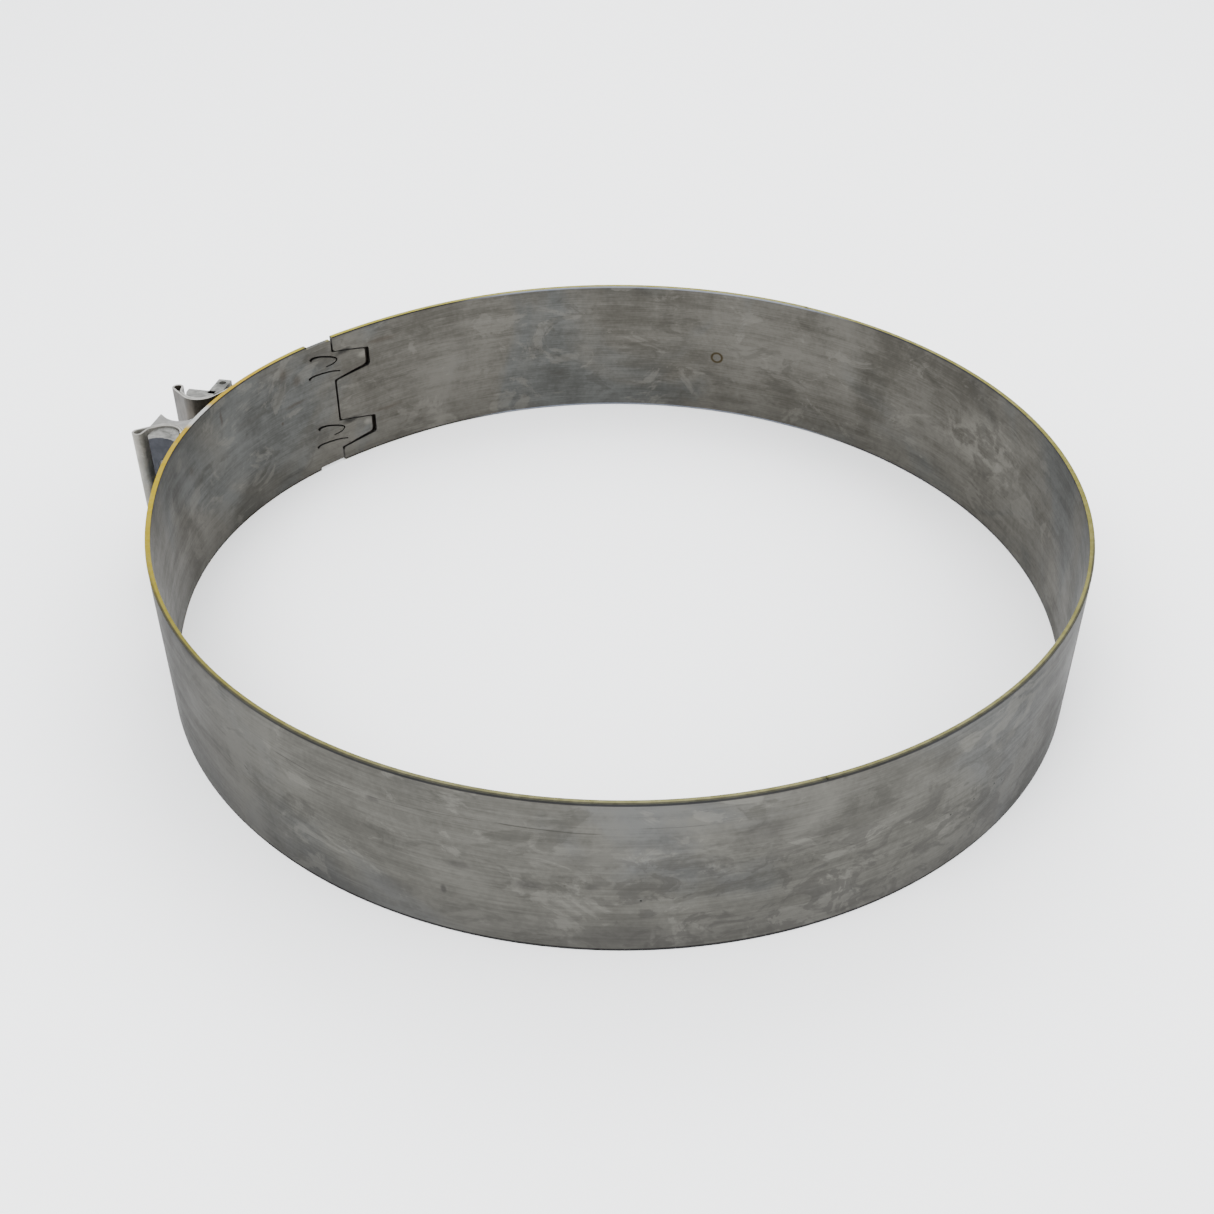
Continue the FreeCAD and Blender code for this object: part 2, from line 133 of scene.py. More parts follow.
class Path:
    """Chain of tangent arcs and lines in the plane, walked by its length, in millimetres."""

    def __init__(self):
        self.parts = []
        self.length = 0.0

    def line(self, a, b):
        run = float(np.linalg.norm(b - a))
        self.parts.append((self.length, run, None, a, (b - a) / run, 0.0))
        self.length += run

    def arc(self, centre, radius, start, end):
        sweep = math.radians(end - start)
        run = abs(sweep) * radius
        self.parts.append((self.length, run, centre, radius, math.radians(start), sweep))
        self.length += run

    def at(self, s):
        """Points and headings at lengths s."""
        s = np.atleast_1d(np.asarray(s, float))
        points = np.zeros((len(s), 2))
        headings = np.zeros((len(s), 2))
        for i, (begin, run, centre, a, b, sweep) in enumerate(self.parts):
            last = i == len(self.parts) - 1
            here = ((s >= begin) | (i == 0)) & ((s < begin + run) | last)
            ahead = s[here] - begin
            if centre is None:
                points[here] = a + np.outer(ahead, b)
                headings[here] = b
            else:
                angle = b + ahead / run * sweep
                ray = np.column_stack([np.cos(angle), np.sin(angle)])
                points[here] = centre + a * ray
                headings[here] = np.column_stack([-ray[:, 1], ray[:, 0]]) * np.sign(sweep)
        return points, headings

    def stations(self, degrees, longest):
        """Lengths close enough together to follow every bend."""
        marks = [0.0]
        for begin, run, centre, a, b, sweep in self.parts:
            count = math.ceil(run / longest)
            if centre is not None:
                count = max(count, math.ceil(math.degrees(abs(sweep)) / degrees))
            marks += [begin + run * (k + 1) / count for k in range(count)]
        return np.array(marks)


# ---- the ring: a main arc, two flatter flanks and a tighter crown ----
def ring_arcs():
    half = math.radians(BULGE_HALF_SPAN)
    a, h = FLANK_EXTRA, BULGE_HEIGHT
    shrink = (h * h + 2 * a * h * math.cos(half)) / (2 * a * (1 - math.cos(half)) - 2 * h)
    crown = unit(BULGE_ANGLE) * (h + shrink)
    low, high = BULGE_ANGLE - BULGE_HALF_SPAN, BULGE_ANGLE + BULGE_HALF_SPAN
    joins = []
    for side in (low, high):
        centre = unit(side) * -a
        away = (crown - centre) / np.linalg.norm(crown - centre)
        joins.append(polar(crown + away * (PIPE_RADIUS - shrink)))
    return [(unit(low) * -a, PIPE_RADIUS + a, low, joins[0]),
            (crown, PIPE_RADIUS - shrink, joins[0], joins[1]),
            (unit(high) * -a, PIPE_RADIUS + a, joins[1], high),
            (np.zeros(2), PIPE_RADIUS, high, low + 360)]


def polar(point, centre=(0, 0)):
    return math.degrees(math.atan2(point[1] - centre[1], point[0] - centre[0])) % 360


ARCS = ring_arcs()


def arc_at(angle):
    for centre, radius, start, end in ARCS:
        for turn in (0, 360, -360):
            if start - 1e-9 <= angle + turn <= end + 1e-9:
                return centre, radius
    raise ValueError(angle)


def ring_point(angle, offset, arc=None):
    centre, radius = arc or arc_at(angle)
    ray = unit(angle)
    along = centre @ ray
    reach = along + math.sqrt(along ** 2 - centre @ centre + radius ** 2)
    normal = (ray * reach - centre) / radius
    return centre + normal * (radius + offset)


def ring_heading(angle):
    centre, radius = arc_at(angle)
    normal = (ring_point(angle, 0) - centre) / radius
    return np.array([-normal[1], normal[0]])


def add_ring(path, start, end, offset):
    """Adds the ring's arcs from one polar angle to another, either way round."""
    low, high = min(start, end), max(start, end)
    cuts = {low, high}
    for _, _, _, stop in ARCS:
        cuts |= {stop + turn for turn in (-360, 0, 360) if low < stop + turn < high}
    cuts = sorted(cuts, reverse=start > end)
    for a, b in zip(cuts, cuts[1:]):
        arc = arc_at((a + b) / 2)
        first = polar(ring_point(a, offset, arc), arc[0])
        swept = (polar(ring_point(b, offset, arc), arc[0]) - first) % 360
        if start > end:
            swept -= 360
        path.arc(arc[0], arc[1] + offset, first, first + swept)


def add_joggle(path, a, a_heading, b, b_heading):
    """Two tangent arcs that step from one run of the ring to another."""
    gap, both = b - a, a_heading + b_heading
    bend = 2 * (1 - a_heading @ b_heading)
    reach = (math.sqrt((gap @ both) ** 2 + bend * gap @ gap) - gap @ both) / bend
    corners = (a + a_heading * reach, b - b_heading * reach)
    join = (corners[0] + corners[1]) / 2
    for start, corner, end in ((a, corners[0], join), (join, corners[1], b)):
        heading = (corner - start) / np.linalg.norm(corner - start)
        chord = end - start
        side = np.array([-heading[1], heading[0]])
        radius = (chord @ chord) / (2 * (chord @ side))
        centre = start + side * radius
        first = polar(start, centre)
        sweep = (polar(end, centre) - first + 180) % 360 - 180
        path.arc(centre, abs(radius), first, first + sweep)


# ---- closure frame ----
axis = frame["joints"][0]["axis"]
ALONG = np.array(axis[:2]) / np.linalg.norm(axis[:2])
OUTWARD = np.array([-ALONG[1], ALONG[0]])


class Side:
    """Plane frame at one bar: gapward along the bolts, and outward; +1 is the far side."""

    def __init__(self, sign):
        self.sign = sign
        self.centre = OUTWARD * BOLT_LINE + ALONG * (BOLT_GAP_MIDDLE + sign * BAR_SPACING / 2)
        self.gapward = ALONG * -sign

    def at(self, gapward, out):
        return self.centre + self.gapward * gapward + OUTWARD * out

    def world_angle(self, degrees):
        return polar(self.at(*unit(degrees)), self.centre)

    def add_arc(self, path, centre, radius, start, end):
        """Arc given in the side's own angles; the far side's frame is a mirror image."""
        first = self.world_angle(start)
        path.arc(centre, radius, first, first + (start - end) * self.sign)


NEAR, FAR = Side(-1), Side(1)


def saddle_path(side):
    """Centre line of a saddle from the end of its leg to the end of its folded-back layer.

    Also returns the lengths between which each wall layer faces the bolts.
    """
    path = Path()
    lift = STRAP_LIFT if side is FAR else 0
    base = BAND_THICKNESS + SHEET / 2
    crown, radius = arc_at(BULGE_ANGLE)
    span = side.centre - crown
    reach = radius + base + lift
    tilt = math.degrees(math.acos((reach + OUTER_LAYER) / np.linalg.norm(span)))
    normal = unit(polar(span) - side.sign * tilt)
    leaves, meets = crown + normal * reach, side.centre - normal * OUTER_LAYER
    contact = polar(crown + normal * radius)
    if side is NEAR:
        add_ring(path, NEAR_LEG_END, contact, base)
    else:
        add_ring(path, FAR_LEG_END, JOGGLE[0], base)
        add_joggle(path, ring_point(JOGGLE[0], base), ring_heading(JOGGLE[0]),
                   ring_point(JOGGLE[1], base + lift), ring_heading(JOGGLE[1]))
        add_ring(path, JOGGLE[1], contact, base + lift)
    path.line(leaves, meets)
    away = meets - side.centre
    start = math.degrees(math.atan2(away @ OUTWARD, away @ side.gapward))
    wraps = [path.length]
    side.add_arc(path, side.centre, OUTER_LAYER, start, LEAN)
    forward, left = unit(LEAN + 90), unit(LEAN + 180)
    base_point = unit(LEAN) * OUTER_LAYER

    def place(ahead, aside):
        return side.at(*(base_point + forward * ahead + left * aside))

    close = math.radians(CURL_CLOSE)
    path.line(place(0, 0), place(WALL_RISE, 0))
    wraps.append(path.length)
    side.add_arc(path, place(WALL_RISE, CURL_RADIUS), CURL_RADIUS, LEAN, LEAN + 180 + CURL_CLOSE)
    ahead = WALL_RISE - CURL_RADIUS * math.sin(close)
    aside = CURL_RADIUS * (1 + math.cos(close))
    run = (aside - CURL_RADIUS * (1 - math.cos(close)) - LAYER_STEP) / math.sin(close)
    turn = (ahead - run * math.cos(close), aside - run * math.sin(close))
    path.line(place(ahead, aside), place(*turn))
    finish = turn[0] - CURL_RADIUS * math.sin(close)
    side.add_arc(path, place(finish, LAYER_STEP + CURL_RADIUS), CURL_RADIUS,
                 LEAN + CURL_CLOSE, LEAN)
    wraps.append(path.length)
    path.line(place(finish, LAYER_STEP), place(0, LAYER_STEP))
    side.add_arc(path, side.centre, INNER_LAYER, LEAN, INNER_END)
    wraps.append(path.length)
    return path, wraps


# ---- flat outlines ----
def rounded(points, radii):
    """Closed outline with its corners rounded, by one radius for each."""
    result = []
    count = len(points)
    for i in range(count):
        before, here, after = (np.array(points[(i + k) % count], float) for k in (-1, 0, 1))
        u, v = before - here, after - here
        reach = min(radii[i], 0.45 * np.linalg.norm(u), 0.45 * np.linalg.norm(v))
        if reach < 1e-6:
            result.append(tuple(here))
            continue
        a = here + u / np.linalg.norm(u) * reach
        b = here + v / np.linalg.norm(v) * reach
        for k in range(CORNER_STEPS + 1):
            f = k / CORNER_STEPS
            result.append(tuple(a * (1 - f) ** 2 + here * 2 * f * (1 - f) + b * f * f))
    return result


def subdivided(points, stations, longest):
    """Outline with extra points where it crosses the stations and along its long edges."""
    result = []
    for i, a in enumerate(points):
        b = points[(i + 1) % len(points)]
        cuts = {0.0}
        if abs(b[0] - a[0]) > 1e-6:
            shares = (stations - a[0]) / (b[0] - a[0])
            cuts |= {float(f) for f in shares if 1e-4 < f < 1 - 1e-4}
        else:
            count = math.ceil(abs(b[1] - a[1]) / longest)
            cuts |= {k / count for k in range(1, count)}
        result += [(a[0] + (b[0] - a[0]) * f, a[1] + (b[1] - a[1]) * f) for f in sorted(cuts)]
    return result


def inside(points, polygon):
    """Even-odd test of many points against one closed outline."""
    x, y = points[:, 0], points[:, 1]
    result = np.zeros(len(points), bool)
    for (ax, ay), (bx, by) in zip(polygon, polygon[1:] + polygon[:1]):
        if ay == by:
            continue
        crosses = ((ay > y) != (by > y)) & (x < (bx - ax) * (y - ay) / (by - ay) + ax)
        result ^= crosses
    return result


def clear_of(points, polygon, distance):
    """True where a point is at least a distance away from an outline's edges."""
    ok = np.ones(len(points), bool)
    for a, b in zip(polygon, polygon[1:] + polygon[:1]):
        a, b = np.array(a), np.array(b)
        run = b - a
        share = np.clip((points - a) @ run / max(run @ run, 1e-12), 0, 1)
        gap = np.linalg.norm(points - a - np.outer(share, run), axis=1)
        ok &= gap > distance
    return ok


def strip(length, half):
    return [(0, half), (0, -half), (length, -half), (length, half)]


def sheet_piece(name, path, outline, cuts, thickness, degrees, row_step, joined=(), shift=0.0):
    """Closed sheet-metal mesh: a flat outline with cuts, bent along a path.

    Outline and cuts are in (length along the path, height). joined lists the lengths where the
    sheet carries on in another piece, so that no edge is softened there.
    """
    stations = path.stations(degrees, LONGEST_STEP) - shift
    edge = subdivided(outline, stations, row_step)
    holes = [subdivided(cut, stations, row_step) for cut in cuts]
    low = min(p[1] for p in outline)
    high = max(p[1] for p in outline)
    rows = np.linspace(low, high, max(2, round((high - low) / row_step)) + 1)[1:-1]
    grid = np.array([(s, z) for s in stations for z in rows])
    grid = grid[inside(grid, edge)]
    grid = grid[clear_of(grid, edge, EDGE_CLEARANCE)]
    for hole in holes:
        grid = grid[~inside(grid, hole)]
        grid = grid[clear_of(grid, hole, CUT_CLEARANCE)]
    points, lines = [], []
    for loop in [edge] + holes:
        base = len(points)
        points += [Vector(p) for p in loop]
        lines += [(base + i, base + (i + 1) % len(loop)) for i in range(len(loop))]
    points += [Vector(p) for p in grid]
    flat, _, faces, _, _, _ = delaunay_2d_cdt(points, lines, [], 0, 1e-5)
    flat = np.array([tuple(p) for p in flat])
    faces = [f for f in faces if len(f) == 3]
    middles = np.array([flat[list(f)].mean(0) for f in faces])
    keep = inside(middles, edge)
    for hole in holes:
        keep &= ~inside(middles, hole)
    faces = [f for f, k in zip(faces, keep) if k]

    spot, heading = path.at(flat[:, 0] + shift)
    side = np.column_stack([-heading[:, 1], heading[:, 0]]) * thickness / 2
    bm = bmesh.new()
    layers = []
    for sign in (1, -1):
        layers.append([bm.verts.new((x * MM, y * MM, z * MM))
                       for (x, y), z in zip(spot + side * sign, flat[:, 1])])
    border = {}
    for f in faces:
        a, b, c = f
        bm.faces.new([layers[0][a], layers[0][b], layers[0][c]])
        bm.faces.new([layers[1][c], layers[1][b], layers[1][a]])
        for i, j in ((a, b), (b, c), (c, a)):
            if (j, i) in border:
                del border[(j, i)]
            else:
                border[(i, j)] = True
    weight = bm.edges.layers.float.new("bevel_weight_edge")
    for i, j in border:
        bm.faces.new([layers[0][j], layers[0][i], layers[1][i], layers[1][j]])
    bm.edges.index_update()
    for i, j in border:
        at_join = any(abs(flat[i, 0] - s) < 1e-3 and abs(flat[j, 0] - s) < 1e-3 for s in joined)
        for layer in layers:
            found = bm.edges.get((layer[i], layer[j]))
            found[weight] = 0.0 if at_join else 1.0
            found.smooth = not at_join
    for vert in list(bm.verts):
        if not vert.link_faces:
            bm.verts.remove(vert)
    bmesh.ops.recalc_face_normals(bm, faces=bm.faces)
    obj = mesh_object(name, bm)
    applied(softened(obj, SHEET_BEVEL, by_weight=True))
    obj.data.set_sharp_from_angle(angle=SHARP_ANGLE)
    obj.modifiers.new("even_normals", "WEIGHTED_NORMAL").keep_sharp = True
    return applied(obj)


# ---- mesh helpers ----
def placed(name, data):
    obj = bpy.data.objects.new(name, data)
    bpy.context.scene.collection.objects.link(obj)
    return obj


def mesh_object(name, bm):
    mesh = bpy.data.meshes.new(name)
    bm.to_mesh(mesh)
    bm.free()
    mesh.shade_smooth()
    return placed(name, mesh)


def softened(obj, width, by_weight=False, segments=2):
    bevel = obj.modifiers.new("soft_edges", "BEVEL")
    bevel.width = width * MM
    bevel.segments = segments
    bevel.limit_method = "WEIGHT" if by_weight else "ANGLE"
    bevel.angle_limit = SHARP_ANGLE
    bevel.use_clamp_overlap = True
    bevel.miter_outer = "MITER_ARC"
    normals = obj.modifiers.new("even_normals", "WEIGHTED_NORMAL")
    normals.keep_sharp = True
    return obj


def applied(obj):
    """Replaces the object's mesh by what its modifiers make of it."""
    shown = obj.evaluated_get(bpy.context.evaluated_depsgraph_get())
    mesh = bpy.data.meshes.new_from_object(shown)
    obj.modifiers.clear()
    obj.data = mesh
    return obj


def along_frame(origin, direction):
    """Matrix whose local Z runs along a direction, with local X up the pipe axis."""
    z = Vector(direction).normalized()
    x = Vector((0, 0, 1))
    y = z.cross(x)
    matrix = Matrix((x, y, z)).transposed().to_4x4()
    matrix.translation = Vector(origin)
    return matrix


def vertex(bm, radius, turn, height):
    return bm.verts.new((radius * MM * math.cos(turn), radius * MM * math.sin(turn), height * MM))


def circle(bm, radius, height, steps=48):
    """Ring of points round Z, or one point where the radius is 0."""
    if not radius:
        return [bm.verts.new((0, 0, height * MM))]
    return [vertex(bm, radius, 2 * math.pi * k / steps, height) for k in range(steps)]


def join_rings(bm, rings):
    for low, high in zip(rings, rings[1:]):
        count = max(len(low), len(high))
        for k in range(count):
            n = (k + 1) % count
            corners = [low[k % len(low)], low[n % len(low)], high[n % len(high)],
                       high[k % len(high)]]
            unique = list(dict.fromkeys(corners))
            if len(unique) > 2:
                bm.faces.new(unique)


def hexagon_ring(bm, radius_of, height_of, steps=12):
    """Ring of points round a hexagon's outline, with steps points on each side."""
    ring = []
    for k in range(6 * steps):
        angle = 2 * math.pi * k / (6 * steps)
        toward = (angle % (math.pi / 3)) - math.pi / 6
        flat = 1 / math.cos(toward)
        ring.append(vertex(bm, radius_of(flat), angle, height_of(flat)))
    return ring


def threaded(bm, start, stop, major):
    """Rings of a helical thread along Z, faded out at both ends."""
    count = round(abs(stop - start) / THREAD_PITCH * THREAD_ROWS)
    rings = []
    for i in range(count + 1):
        height = start + (stop - start) * i / count
        ring = []
        for k in range(THREAD_STEPS):
            turn = 2 * math.pi * k / THREAD_STEPS
            phase = (height / THREAD_PITCH - k / THREAD_STEPS) % 1.0
            tooth = min(max(abs(phase - 0.5) * 2.6 - 0.3, 0.0), 1.0)
            fade = min(1.0, abs(height - start) / 0.6, abs(stop - height) / 1.2)
            radius = major - THREAD_DEPTH * tooth * fade
            ring.append(vertex(bm, radius, turn, height))
        rings.append(ring)
    return rings


# ---- bands ----
def ring_path(start, end):
    path = Path()
    add_ring(path, start, end, BAND_THICKNESS / 2)
    return path


TO_SEAM = ring_path(SEAM_ANGLE - BEYOND_SEAM, SEAM_ANGLE).length


def slit(points):
    """Outline of a narrow cut along a smooth line, with a small round hole at its start."""
    fine = []
    count = len(points)
    for i in range(count - 1):
        p = [np.array(points[min(max(i + k, 0), count - 1)]) for k in (-1, 0, 1, 2)]
        for k in range(4):
            f = k / 4
            fine.append(0.5 * (2 * p[1] + (p[2] - p[0]) * f
                               + (2 * p[0] - 5 * p[1] + 4 * p[2] - p[3]) * f ** 2
                               + (3 * p[1] - p[0] - 3 * p[2] + p[3]) * f ** 3))
    fine = np.array(fine + [np.array(points[-1])])
    heading = np.gradient(fine, axis=0)
    heading /= np.linalg.norm(heading, axis=1)[:, None]
    aside = np.column_stack([-heading[:, 1], heading[:, 0]])
    share = np.linspace(0, 1, len(fine))
    half = SLIT_HALF_WIDTH * (1.9 * np.exp(-share * 12) + 1 - 0.35 * share)
    half[0] *= 0.4
    left = fine + aside * half[:, None]
    right = fine - aside * half[:, None]
    return [tuple(p) for p in left] + [tuple(p) for p in right[::-1]]


def tab_slits(middle):
    """The hooked slit at a tab's upper root corner, and the gently curved one below it."""
    top = middle + SLIT_HEIGHT
    hooked = [(-9.9, 1.9), (-8.6, 2.5), (-5.8, 2.2), (-2.9, 1.3), (0.0, 0.1), (1.5, -1.0),
              (0.8, -2.0), (-1.0, -2.5), (-3.3, -2.6)]
    lower = [(-11.3, -5.1), (-9.6, -4.4), (-4.6, -4.7), (-0.6, -5.3), (2.6, -6.2)]
    return [slit([(-t, top + z) for t, z in hooked]), slit([(-t, top + z) for t, z in lower])]


def tab_corners(middle, end_gap, top_gap, bottom_gap):
    """Root and tip corners of a tab or notch, from its upper root round to its lower root."""
    top = middle + TAB_ROOT / 2
    bottom = middle - TAB_ROOT / 2
    end = TAB_LENGTH + end_gap
    return [(-SEAM_GAP / 2, top + top_gap), (end, top - TAB_TOP_TAPER + top_gap),
            (end, top - TAB_TOP_TAPER - TAB_TIP - bottom_gap),
            (-SEAM_GAP / 2, bottom - bottom_gap / 2)]


# lengths on the band run from the seam towards larger polar angles, so the tabs are negative
def tongue_outline(length):
    neck = BAND_HALF - NECK_STEP
    points = [(length, BAND_HALF), (NECK_LENGTH, BAND_HALF), (NECK_LENGTH, neck),
              (SEAM_GAP / 2, neck)]
    radii = [0, 0.2, 0.6, 0.3]
    for middle in TAB_MIDDLES:
        corners = tab_corners(middle, 0, 0, 0)
        points += [(-t, z) for t, z in corners]
        radii += [0.1, 0.6, 1.5, 0.4]
    points += [(SEAM_GAP / 2, -neck), (NECK_LENGTH, -neck), (NECK_LENGTH, -BAND_HALF),
               (length, -BAND_HALF)]
    radii += [0.3, 0.6, 0.2, 0]
    return rounded(points, radii)


def notched_outline(length):
    points = [(length, BAND_HALF), (-SEAM_GAP / 2, BAND_HALF)]
    radii = [0, 0.3]
    for middle in TAB_MIDDLES:
        corners = tab_corners(middle, NOTCH_END_GAP, NOTCH_TOP_GAP, NOTCH_BOTTOM_GAP)
        corners[0] = (SEAM_GAP / 2, corners[0][1])
        corners[3] = (SEAM_GAP / 2, corners[3][1])
        points += [(-t, z) for t, z in corners]
        radii += [1.0, 0.6, 1.2, 1.0]
    points += [(-SEAM_GAP / 2, -BAND_HALF), (length, -BAND_HALF)]
    radii += [0.3, 0]
    return rounded(points, radii)


def band_piece(name, path, outline, joined, cuts=(), shift=0.0):
    return sheet_piece(name, path, outline, cuts, BAND_SHEET, 0.5, 6.0, joined, shift)


tongue_path = ring_path(SEAM_ANGLE - BEYOND_SEAM, FLEX_LOW)
tongue_length = tongue_path.length - TO_SEAM
slits = [cut for middle in TAB_MIDDLES for cut in tab_slits(middle)]
tongue = band_piece("band_tongue", tongue_path, tongue_outline(tongue_length), [tongue_length],
                    slits, TO_SEAM)
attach(tongue, "near_side")

notch_path = ring_path(FLEX_HIGH - 360, SEAM_ANGLE + 1)
notch_length = ring_path(FLEX_HIGH - 360, SEAM_ANGLE).length
notched = band_piece("band_notched", notch_path, notched_outline(-notch_length), [-notch_length],
                     shift=notch_length)
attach(notched, "far_side")

flex_path = ring_path(FLEX_LOW, FLEX_HIGH)
flex = band_piece("band_flex", flex_path, strip(flex_path.length, BAND_HALF),
                  [0, flex_path.length])
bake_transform(flex)
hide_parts("tongue_band")
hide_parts("notched_band")


# ---- saddles ----
def bolt_hole(path, begin, end, side, level):
    """Outline, on one wall layer, of a hole drilled along the bolts."""
    lengths = np.linspace(begin, end, 400)
    spots = path.at(lengths)[0] - side.centre
    heights, facing = spots @ OUTWARD, spots @ side.gapward > 0
    lengths, heights = lengths[facing], heights[facing]
    order = np.argsort(heights)
    hole = []
    for k in range(36):
        turn = 2 * math.pi * k / 36
        out = SADDLE_HOLE * math.cos(turn)
        hole.append((float(np.interp(out, heights[order], lengths[order])),
                     level + SADDLE_HOLE * math.sin(turn)))
    return hole


def saddle(name, side, body, node):
    path, (outer_start, outer_end, inner_start, inner_end) = saddle_path(side)
    holes = []
    for level in (BOLT_LEVEL, -BOLT_LEVEL):
        holes.append(bolt_hole(path, outer_start, outer_end, side, level))
        holes.append(bolt_hole(path, inner_start, inner_end, side, level))
    outline = rounded(strip(path.length, SADDLE_HALF), [1.5, 1.5, 0.4, 0.4])
    obj = sheet_piece(name, path, outline, holes, SHEET, 5.0, 2.6)
    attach(obj, body)
    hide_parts(node)
    return obj


near_saddle = saddle("saddle_near", NEAR, "near_side", "near_saddle")
far_saddle = saddle("saddle_far", FAR, "far_side", "far_saddle")


# ---- fasteners ----
HEAD_FLATS = 5.0
HEAD_HEIGHT = 4.0
WASHER = 1.2
BAR_FLAT = 1.3
SEAT = BAR_FLAT + WASHER
BOLT_LENGTH = 35.0
THREAD_LENGTH = 24.0


def hex_head(bm, height):
    """Hexagonal head standing on Z = 0, its corners turned off at 30 degrees."""
    turned = HEAD_FLATS * 0.95
    slope = math.tan(math.radians(30))

    def chamfer(flat):
        return max(0.0, (HEAD_FLATS * flat - turned) * slope)

    rings = [
        [bm.verts.new((0, 0, 0))],
        hexagon_ring(bm, lambda f: turned, lambda f: 0.0),
        hexagon_ring(bm, lambda f: HEAD_FLATS * f, lambda f: 0.15),
        hexagon_ring(bm, lambda f: HEAD_FLATS * f, lambda f: height - chamfer(f)),
        hexagon_ring(bm, lambda f: turned, lambda f: height),
        hexagon_ring(bm, lambda f: 2.6, lambda f: height),
        hexagon_ring(bm, lambda f: 2.2, lambda f: height - 0.25),
        [bm.verts.new((0, 0, (height - 0.25) * MM))],
    ]
    join_rings(bm, rings)


def bolt(name, body, node, level):
    bm = bmesh.new()
    hex_head(bm, HEAD_HEIGHT)
    shank = BOLT_LENGTH - THREAD_LENGTH
    upper = ((0, 0.3), (SHANK_RADIUS, 0.3), (SHANK_RADIUS, -shank * 0.5),
             (SHANK_RADIUS, -shank + 0.4))
    lower = ((2.4, -BOLT_LENGTH + 0.3), (2.1, -BOLT_LENGTH), (0, -BOLT_LENGTH))
    rings = [circle(bm, radius, height, THREAD_STEPS) for radius, height in upper]
    rings += threaded(bm, -shank, -BOLT_LENGTH + 0.9, SHANK_RADIUS - 0.01)
    rings += [circle(bm, radius, height, THREAD_STEPS) for radius, height in lower]
    join_rings(bm, rings)
    bmesh.ops.recalc_face_normals(bm, faces=bm.faces)
    place = FAR.at(-SEAT, 0) * MM
    bm.transform(along_frame((*place, level * MM), (*ALONG, 0)))
    obj = mesh_object(name, bm)
    obj.data.set_sharp_from_angle(angle=math.radians(32))
    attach(obj, body)
    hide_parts(node)
    return obj


bolts = [bolt("hex_bolt_upper", "upper_bolt", "bolt_upper", BOLT_LEVEL),
         bolt("hex_bolt_lower", "lower_bolt", "bolt_lower", -BOLT_LEVEL)]


# ---- bars and block ----
BAR_RADIUS = 4.95
BAR_HALF = 21.4
LUG_HEIGHT = 4.6
LUG_LENGTH = 8.6
LUG_DROP = 7.0
LUG_BEVEL = 0.9
LUG_RISE = 4.5
LUG_HOLE = 1.2
BLOCK_HALF = 21.5
BLOCK_HEIGHT = 13.6
BLOCK_WAIST = 2.5
BLOCK_FIT = 0.3


def prism(name, side, outline, low, high):
    """Solid standing along the pipe axis over an outline in the side's frame."""
    bm = bmesh.new()
    rings = []
    for z in (low, high):
        rings.append([bm.verts.new((*(side.at(g, out) * MM), z * MM)) for g, out in outline])
    for ring in rings:
        bm.faces.new(ring)
    join_rings(bm, rings)
    bmesh.ops.recalc_face_normals(bm, faces=bm.faces)
    return mesh_object(name, bm)


def combine(obj, other, operation):
    """Exact boolean of two closed meshes; the second one is used up."""
    modifier = obj.modifiers.new("cut", "BOOLEAN")
    modifier.operation = operation
    modifier.solver = "EXACT"
    modifier.object = other
    applied(obj)
    bpy.data.objects.remove(other)
    return obj


def drill(obj, place, direction, radius, reach):
    bm = bmesh.new()
    profile = ((0, -reach), (radius, -reach), (radius, reach), (0, reach))
    join_rings(bm, [circle(bm, *corner) for corner in profile])
    bmesh.ops.recalc_face_normals(bm, faces=bm.faces)
    bm.transform(along_frame(place, direction) if direction[2] == 0
                 else Matrix.Translation(place))
    return combine(obj, mesh_object("drill", bm), "DIFFERENCE")


def drill_for_bolts(obj, radius):
    for level in (BOLT_LEVEL, -BOLT_LEVEL):
        place = OUTWARD * BOLT_LINE + ALONG * BOLT_GAP_MIDDLE
        drill(obj, (*(place * MM), level * MM), (*ALONG, 0), radius, 40)
    return obj


def round_arc(radius, start, end, count):
    turns = [math.radians(start + (end - start) * k / count) for k in range(count + 1)]
    return [(radius * math.cos(t), radius * math.sin(t)) for t in turns]


def bar(name, side, hole):
    outline = round_arc(BAR_RADIUS, -90, 90, 32) + [(-BAR_FLAT, BAR_RADIUS),
                                                    (-BAR_FLAT, -BAR_RADIUS)]
    return drill_for_bolts(prism(name, side, outline, -BAR_HALF, BAR_HALF), hole)


near_bar = bar("bar_near", NEAR, BOLT_RADIUS + 0.03)
far_bar = bar("bar_far", FAR, BOLT_RADIUS + 0.2)
lug_end = -BAR_FLAT - LUG_LENGTH
lug_outline = [(0.5, -LUG_DROP + LUG_HEIGHT), (lug_end, -LUG_DROP + LUG_HEIGHT),
               (lug_end, -LUG_DROP), (-BAR_FLAT - LUG_BEVEL, -LUG_DROP), (0.5, -BAR_RADIUS + 0.1)]
for low in (BAR_HALF - LUG_RISE, -BAR_HALF):
    lug = prism("lug", FAR, lug_outline, low, low + LUG_RISE)
    hole = FAR.at(lug_end + 2 * LUG_HOLE, -LUG_DROP + LUG_HEIGHT / 2) * MM
    drill(lug, (*hole, (low + LUG_RISE / 2) * MM), (0, 0, 1), LUG_HOLE, LUG_RISE)
    combine(far_bar, lug, "UNION")

